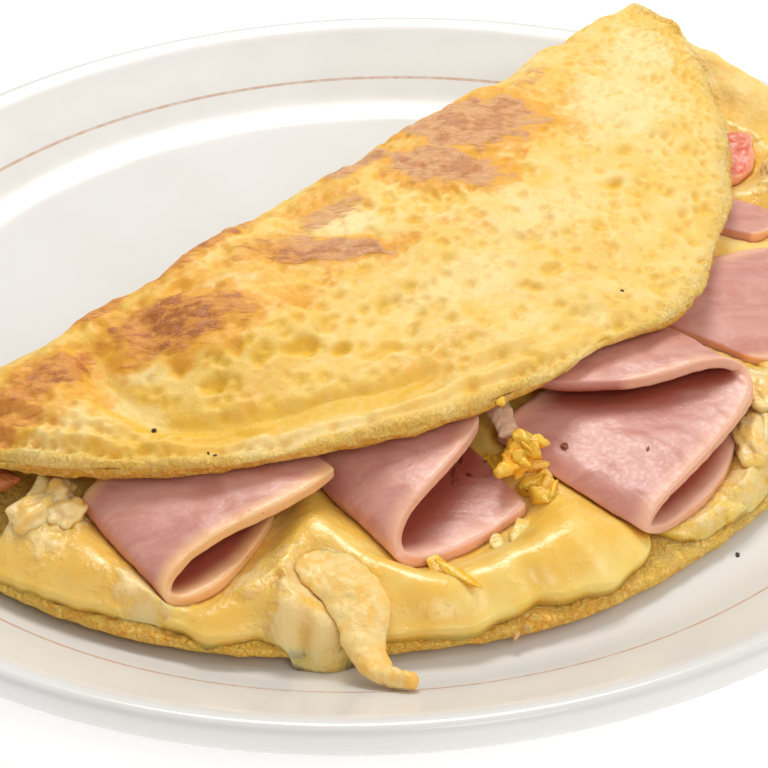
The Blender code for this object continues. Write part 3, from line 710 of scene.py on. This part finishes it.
def build_omelette():
    obj = egg_mesh()
    co, out = points_of(obj), normals_of(obj)
    s, t, z = food(co)
    mm = co / MM
    low = z < FLAP_LOWEST
    top = step(-0.2, 0.3, out[:, 2]) * step(FLAP_LOWEST - 1, FLAP_LOWEST + 1, z)
    inset = flap_inset(s, t)

    # Colours
    wobble = 0.30 * noise(mm, 5, 1) + 0.16 * noise(mm, 1.8, 2)
    brown = patches(s, t, BROWN_PATCHES, wobble) * step(FLAP_LOWEST - 2, FLAP_LOWEST + 2, z)
    pale = patches(s, t, PALE_PATCHES, wobble)
    gold = np.maximum(patches(s, t, GOLD_PATCHES, wobble), patches(s, t, BROWN_PATCHES, wobble - 0.42))
    gold = np.maximum(gold, 0.6 * step(2, -8, t) * step(-0.5, 0.6, noise(mm, 12, 11)))
    crust = 0.05 + 0.65 * step(BASE_CRUST - 2.5, BASE_CRUST + 2, np.hypot(s, t))
    gold = np.where(low, crust, gold * np.maximum(top, step(2, -4, t)))
    lip = np.where(low, 0, np.exp(-(inset / LIP_WIDTH) ** 2) * step(-0.55, 0.15, -out[:, 2]))
    gold = np.maximum(gold, lip)
    front = 0.8 * np.exp(-(inset / 3) ** 2) * top
    crumb = np.where(low, step(-0.9, -0.2, out[:, 2]), np.maximum(lip, front))

    # Relief
    valley = np.exp(-(path_distance(s, t, VALLEY) / VALLEY_WIDTH) ** 2)
    dome = 1 - step(0.4, 1.0, np.hypot((s - DOME[0]) / DOME[2], (t - DOME[1]) / DOME[3]))
    ridges = np.sin(2 * math.pi * (inset / RIDGE_STEP + 0.35 * noise(mm, 14, 12)))
    ridges *= np.exp(-(inset / RIDGE_REACH) ** 2) * step(20, -30, s)
    hollow, burst = egg_pits(obj, mm, (top > 0.9) & (inset > 2))
    hollow *= (1 - 0.65 * brown) * (1 - 0.8 * valley)
    stretched = np.stack([0.4 * s, t, z], axis=-1)
    rise = 1.1 * noise(mm, 15, 3) + 0.75 * noise(mm, 7, 4) + 0.10 * rough_noise(mm, 3.2, 5)
    rise += DOME_HEIGHT * dome + RIDGE_HEIGHT * ridges - VALLEY_DEPTH * valley
    rise += brown * (0.3 + 0.5 * noise(stretched, 1.6, 10))
    lift = top * (rise - hollow - burst)
    lift += (1 - top) * (0.25 * noise(mm, 5, 6) + 0.22 * rough_noise(mm, 2.2, 7))
    lift += crumb * (0.28 * noise(mm, 2.2, 8) + 0.16 * noise(mm, 1.3, 9))
    lift = np.maximum(lift, THINNEST - thickness(obj, co, out))
    set_points(obj, co + out * lift[:, None] * MM)

    # painted shade: deep darkens the valley, pits, burst bubbles and the left side; on the bottom layer it is
    # the egg's own olive-yellow tone
    deep = 0.7 * valley + 0.65 * hollow / PIT_DEPTH + 0.8 * np.minimum(burst, 1) + 0.3 * step(15, 60, -s)
    deep = np.where(low, 0.4, np.clip(deep - 0.5 * pale, 0, 1) * top)
    for name, values in (("brown", brown), ("gold", gold), ("pale", pale * top), ("deep", deep),
                         ("crumb", crumb), ("blush", step(BLUSH_FROM, BLUSH_TO, s))):
        set_mask(obj, name, values)
    return dress(obj, egg_look(), "egg", "omelette")


# ---- ham and scraps ---------------------------------------------------------------
def blurred(obj, values, rounds):
    """Vertex values averaged along the mesh's edges."""
    ends = np.empty(len(obj.data.edges) * 2, np.int32)
    obj.data.edges.foreach_get("vertices", ends)
    a, b = ends.reshape(-1, 2).T
    count = 1 + np.bincount(a, minlength=len(values)) + np.bincount(b, minlength=len(values))
    for _ in range(rounds):
        around = np.bincount(a, values[b], len(values)) + np.bincount(b, values[a], len(values))
        values = (values + around) / count
    return values


def fold_shade_share(obj, co, out):
    """Painted shade inside folds: 1 where a piece faces itself across a fold, falling to 0 on its open faces.
    """
    tree = tree_of(obj)
    found = np.zeros(len(co))
    for i in range(len(co)):
        way = Vector(out[i])
        hit = tree.ray_cast(Vector(co[i]) + way * 0.4 * MM, way, FOLD_GAP * MM)
        if hit[0] is not None:
            found[i] = 1 - 0.6 * hit[3] / (FOLD_GAP * MM)
    return blurred(obj, found, FOLD_BLUR)


def build_scrap(node, look, slot, swell=0.35, grain=0.10, crease=0.55):
    """A finer copy of a thin or small piece, waved by swell mm and roughened by grain mm."""
    obj = refined(node, 3, crease)
    co, out = points_of(obj), normals_of(obj)
    mm = co / MM
    lift = swell * noise(mm, 9, 21) + grain * rough_noise(mm, 2.5, 22)
    set_points(obj, co + out * lift[:, None] * MM)
    set_mask(obj, "peach", PEACH.get(node, PEACH_ELSE))
    # painted shade inside the slice's folds
    set_mask(obj, "fold_shade", fold_shade_share(obj, co, out))
    return dress(obj, look, slot, node)


# ---- filling ----------------------------------------------------------------------
def edge_of_base(obj, turns):
    """The base's radius in each direction, degrees from the front, measured on its mesh."""
    s, t, z = food(points_of(obj))
    at = np.degrees(np.arctan2(s, t))
    reach = np.where(z < FLAP_LOWEST + 4, np.hypot(s, t), 0)
    bins = np.arange(-90, 91, 2.0)
    widest = [reach[np.abs(at - b) < 1.2].max(initial=100) for b in bins]
    return np.interp(turns, bins, widest)


def first_hits(tree, points, direction):
    """The height, in mm, of what a ray from each point meets, or nan."""
    found = np.full(len(points), np.nan)
    for i, point in enumerate(points):
        hit = tree.ray_cast(Vector(point), direction)[0]
        if hit is not None:
            found[i] = hit.z / MM
    return found


def draped(floor):
    """The floor with its steps along each line softened, as a melted layer bridges them."""
    soft = np.pad(floor, ((DRAPE_ROWS, DRAPE_ROWS), (0, 0)), mode="edge")
    return sum(soft[k:k + len(floor)] for k in range(2 * DRAPE_ROWS + 1)) / (2 * DRAPE_ROWS + 1)


def eased(room, s, t):
    """Room above each place, lowered so that it opens no steeper than EASE_SLOPE beside a piece."""
    for _ in range(EASE_ROUNDS):
        for axis in (0, 1):
            reach = EASE_SLOPE * np.hypot(np.diff(s, axis=axis), np.diff(t, axis=axis))
            low = [slice(None)] * 2
            high = [slice(None)] * 2
            low[axis], high[axis] = slice(None, -1), slice(1, None)
            low, high = tuple(low), tuple(high)
            room[high] = np.minimum(room[high], room[low] + reach)
            room[low] = np.minimum(room[low], room[high] + reach)
    return room


def softened(height):
    """Heights averaged with their neighbours SOFTEN_ROUNDS times."""
    for _ in range(SOFTEN_ROUNDS):
        wide = np.pad(height, 1, mode="edge")
        height = (4 * height + wide[:-2, 1:-1] + wide[2:, 1:-1] + wide[1:-1, :-2] + wide[1:-1, 2:]) / 8
    return height


def filling_grid(omelette):
    """s, t and distance in from the front, in rows along the front."""
    turns = np.linspace(-FILLING_SPAN, FILLING_SPAN, FILLING_STATIONS)
    line = np.stack([turns, 0 * turns, 0 * turns], axis=1)
    inset = knots(FILLING_INSET, turns) + FRONT_WOBBLE * noise(line, 2.2, 36)
    kernel = np.hanning(FRONT_BLUR)
    inset = np.convolve(np.pad(inset, FRONT_BLUR // 2, mode="edge"), kernel / kernel.sum(), "valid")
    front = edge_of_base(omelette, turns) - inset
    front_s, front_t = front * np.sin(np.radians(turns)), front * np.cos(np.radians(turns))
    back_s, back_t = BACK_SHARE * front_s, BACK_T
    length = np.hypot(front_s - back_s, front_t - back_t)
    still_to_come = ROW_GAP * np.arange(len(FILLING_ROWS))[::-1, None]
    inward = np.minimum(np.array(FILLING_ROWS)[:, None], length - still_to_come)
    share = inward / length
    return front_s + (back_s - front_s) * share, front_t + (back_t - front_t) * share, inward


def filling_relief(s, t, inward):
    """Height above the base, how curdy each place is, and how much painted shade deepens its colour in the
    holes and at the left end.
    """
    flat = np.stack([s, t, 0 * s], axis=-1)
    rise = knots(FILLING_RISE, inward + 0.5 * noise(flat, 5, 31))
    curd, deep = np.zeros(len(s)), np.zeros(len(s))
    for at_s, at_t, radius, height, curdy in FILLING_LUMPS:
        reach = np.maximum(np.hypot(s - at_s, t - at_t) / radius + 0.18 * noise(flat, 3, 32), 0)
        rise += height * np.exp(-reach ** 3) * step(0, 3, inward)
        curd = np.maximum(curd, curdy * np.exp(-reach ** 2))
    # the holes are sunk, and their colour is darkened as painted shade
    for at_s, at_t, radius, depth in FILLING_HOLES:
        hole = np.exp(-(np.hypot(s - at_s, t - at_t) / radius) ** 2)
        rise -= depth * hole
        deep = np.maximum(deep, hole)
    # painted shade: the colour of the filling's left end is deepened where it lies in shade
    shaded = step(-64, -86, s + 6 * noise(flat, 10, 37))
    deep = np.maximum(deep, PAINTED_SHADE_LEFT * shaded * (1 - curd))
    smooth = 0.45 * noise(flat, 9, 33) + 0.15 * noise(flat, 4, 34)
    curdled = 0.7 * rough_noise(flat, 4.5, 35)
    rise += (smooth * (1 - curd) + curdled * curd) * step(0, 4, inward)
    return rise, curd, deep


def build_filling(omelette, plate, resting):
    """A melted layer on the base, from the open front into the fold, under the pieces resting on it."""
    s, t, inward = filling_grid(omelette)
    shape = s.shape
    s, t, inward = s.ravel(), t.ravel(), inward.ravel()
    rise, curd, deep = filling_relief(s, t, inward)
    sheet = tree_of(omelette)
    base = first_hits(sheet, world(s, t, IN_FOLD), DOWN)
    table = first_hits(tree_of(plate), world(s, t, ABOVE_ALL), DOWN)
    floor = np.where(np.isnan(base) | (base < table), table, base) + BASE_GAP
    room = np.full(len(s), np.inf)
    for tree in [sheet] + [tree_of(piece) for piece in resting]:
        above = first_hits(tree, world(s, t, floor + 2 * BASE_GAP), UP)
        room = np.fmin(room, above - PIECE_GAP)
    room = eased(room.reshape(shape), s.reshape(shape), t.reshape(shape)).ravel()
    top = np.minimum(draped(floor.reshape(shape)).ravel() + rise, room)
    top = np.where(curd > CURDY_FROM, top, softened(top.reshape(shape)).ravel())
    top = np.maximum(np.minimum(top, room), floor + THINNEST_FILLING)
    upper, lower = world(s, t, top).reshape(*shape, 3), world(s, t, floor).reshape(*shape, 3)
    obj = grid_solid("filling_look", upper, lower)
    for name, values in (("curd", curd), ("deep", deep)):
        set_mask(obj, name, np.concatenate([values, values]))
    return dress(obj, cheese_look(), "melted_cheese", "filling")


# ---- small bits -------------------------------------------------------------------
def build_bits(name, rows, look, slot, under, sink=0.3, cuts=0, lumpy=0.12, detail=3, start=ABOVE_ALL):
    """Uneven lumps, with flat cuts, resting on whichever piece under them is highest, as one piece."""
    bm = bmesh.new()
    for k, (s, t, long, wide, high, turn) in enumerate(rows):
        hits = [tree.ray_cast(Vector(world(s, t, start)), DOWN) for tree in under]
        places = [hit[0] for hit in hits if hit[0] is not None]
        if not places:
            continue
        place = max(places, key=lambda spot: spot.z)
        lump = bmesh.ops.create_icosphere(bm, subdivisions=detail, radius=1)["verts"]
        ball = np.array([v.co for v in lump])
        ball *= (1 + 0.4 * noise(ball + 7 * k, 0.9, 41) + lumpy * noise(ball + 7 * k, 0.4, 42))[:, None]
        for cut in RNG.normal(size=(cuts, 3)):
            cut /= np.linalg.norm(cut)
            ball -= np.maximum(ball @ cut - CUT_DEPTH, 0)[:, None] * cut
        size = Matrix.Diagonal((long, wide, high)) * MM
        around = Matrix.Rotation(FOOD_TURN + math.radians(turn), 3, "Z")
        for vert, spot in zip(lump, ball):
            vert.co = place + around @ (size @ Vector(spot)) + UP * (high * (1 - 2 * sink) * MM)
    mesh = bpy.data.meshes.new(name)
    bm.to_mesh(mesh)
    bm.free()
    return dress(new_object(name, mesh), look, slot)


def cheddar_rows():
    """Crumbled cheddar along its path."""
    rows = []
    path = np.array(CHEDDAR_PATH, float)
    for f in RNG.uniform(0, len(path) - 1.001, CHEDDAR_COUNT):
        i = int(f)
        spot = path[i] + (path[i + 1] - path[i]) * (f - i) + RNG.normal(0, CHEDDAR_SPREAD, 2)
        size = RNG.uniform(*CHEDDAR_SIZES)
        rows.append((*spot, size * 1.3, size * 0.8, size * 0.7, RNG.uniform(0, 180)))
    return rows


# ---- scene ------------------------------------------------------------------------
def build_stage():
    mesh = bpy.data.meshes.new("floor")
    corners = [(x * FLOOR_REACH, y * FLOOR_REACH, 0) for x, y in ((-1, -1), (1, -1), (1, 1), (-1, 1))]
    mesh.from_pydata(corners, [], [(0, 1, 2, 3)])
    floor = new_object("floor", mesh)
    look = Look("floor_white", 0.9, Emission_Color=(1, 1, 1, 1), Emission_Strength=FLOOR_GLOW)
    look.colour((0.93, 0.93, 0.93))
    mesh.materials.append(look.material)
    for name, (spot, aim, size, power, colour) in LIGHTS.items():
        data = bpy.data.lights.new(name, "AREA")
        data.shape, data.size, data.energy, data.color = "DISK", size, power, colour
        lamp = new_object(name, data)
        lamp.location = spot
        lamp.rotation_euler = (Vector(aim) - Vector(spot)).to_track_quat("-Z", "Y").to_euler()
    sky = bpy.data.worlds.new("sky")
    sky.use_nodes = True
    background = sky.node_tree.nodes["Background"]
    background.inputs["Color"].default_value = (*SKY_COLOUR, 1)
    background.inputs["Strength"].default_value = SKY_STRENGTH
    bpy.context.scene.world = sky
    bpy.context.scene.view_settings.view_transform = "Standard"


def build_camera():
    data = bpy.data.cameras.new("camera")
    data.lens, data.sensor_width = CAMERA_LENS, CAMERA_SENSOR
    camera = new_object("camera", data)
    back = (CAMERA_PLACE - CAMERA_TARGET).normalized()
    right = UP.cross(back).normalized()
    above = back.cross(right)
    c, s = math.cos(CAMERA_ROLL), math.sin(CAMERA_ROLL)
    across, high = right * c + above * s, above * c - right * s
    turned = Matrix((across, high, back)).transposed().to_4x4()
    camera.matrix_world = Matrix.Translation(CAMERA_PLACE) @ turned
    bpy.context.scene.camera = camera


build_camera()
build_stage()
plate = build_plate()
omelette = build_omelette()
ham = ham_look()
resting = [build_scrap(node, ham, "ham") for node in HAM_NODES]
for node, slot, roughness, low, high, edge in SCRAPS:
    look = bit_look(node, roughness, low, high, edge)
    swell, grain = SCRAP_SWELL.get(node, SCRAP_SWELL_ELSE)
    resting.append(build_scrap(node, look, slot, swell, grain, crease=0.2))
filling = build_filling(omelette, plate, resting)

trees = [tree_of(piece) for piece in [plate, omelette, filling] + resting]
soft = [tree_of(filling)]
pepper = bit_look("pepper", 0.6, (0.03, 0.015, 0.01), (0.09, 0.05, 0.03), (0.05, 0.03, 0.02))
fleck = bit_look("ham_fleck", 0.4, (0.22, 0.03, 0.015), (0.36, 0.08, 0.03), (0.3, 0.05, 0.02))
toast = bit_look("toasted_crumb", 0.6, (0.50, 0.25, 0.06), (0.70, 0.42, 0.14), (0.5, 0.25, 0.08))
orange = bit_look("cheddar_bits", 0.3, (1.0, 0.48, 0.02), (1.0, 0.63, 0.08), (0.9, 0.45, 0.03))
cream = bit_look("cream_bits", 0.28, (0.96, 0.60, 0.13), (0.97, 0.70, 0.25), (0.9, 0.7, 0.3))
curdy = bit_look("curd_bits", 0.3, (0.93, 0.58, 0.13), (0.92, 0.69, 0.34), (0.9, 0.7, 0.4))
build_bits("pepper_specks", PEPPER, pepper, "browned_ham", trees)
build_bits("ham_flecks", HAM_FLECKS, fleck, "browned_ham", trees, sink=0.45)
build_bits("fold_flecks", FOLD_FLECKS, fleck, "browned_ham", trees, sink=0.45, start=FOLD_ROOF)
build_bits("plate_crumbs", CRUMBS, toast, "egg", trees)
build_bits("cheddar_shreds", SHREDS, orange, "cheddar", soft, sink=0.35)
build_bits("cheddar_crumbles", cheddar_rows(), orange, "cheddar", trees, cuts=6)
build_bits("cream_pieces", CREAM, cream, "cooked_egg", soft, sink=0.3, cuts=4)
build_bits("egg_curds", CURDS, curdy, "cooked_egg", soft, sink=0.68, lumpy=0.17, detail=4)
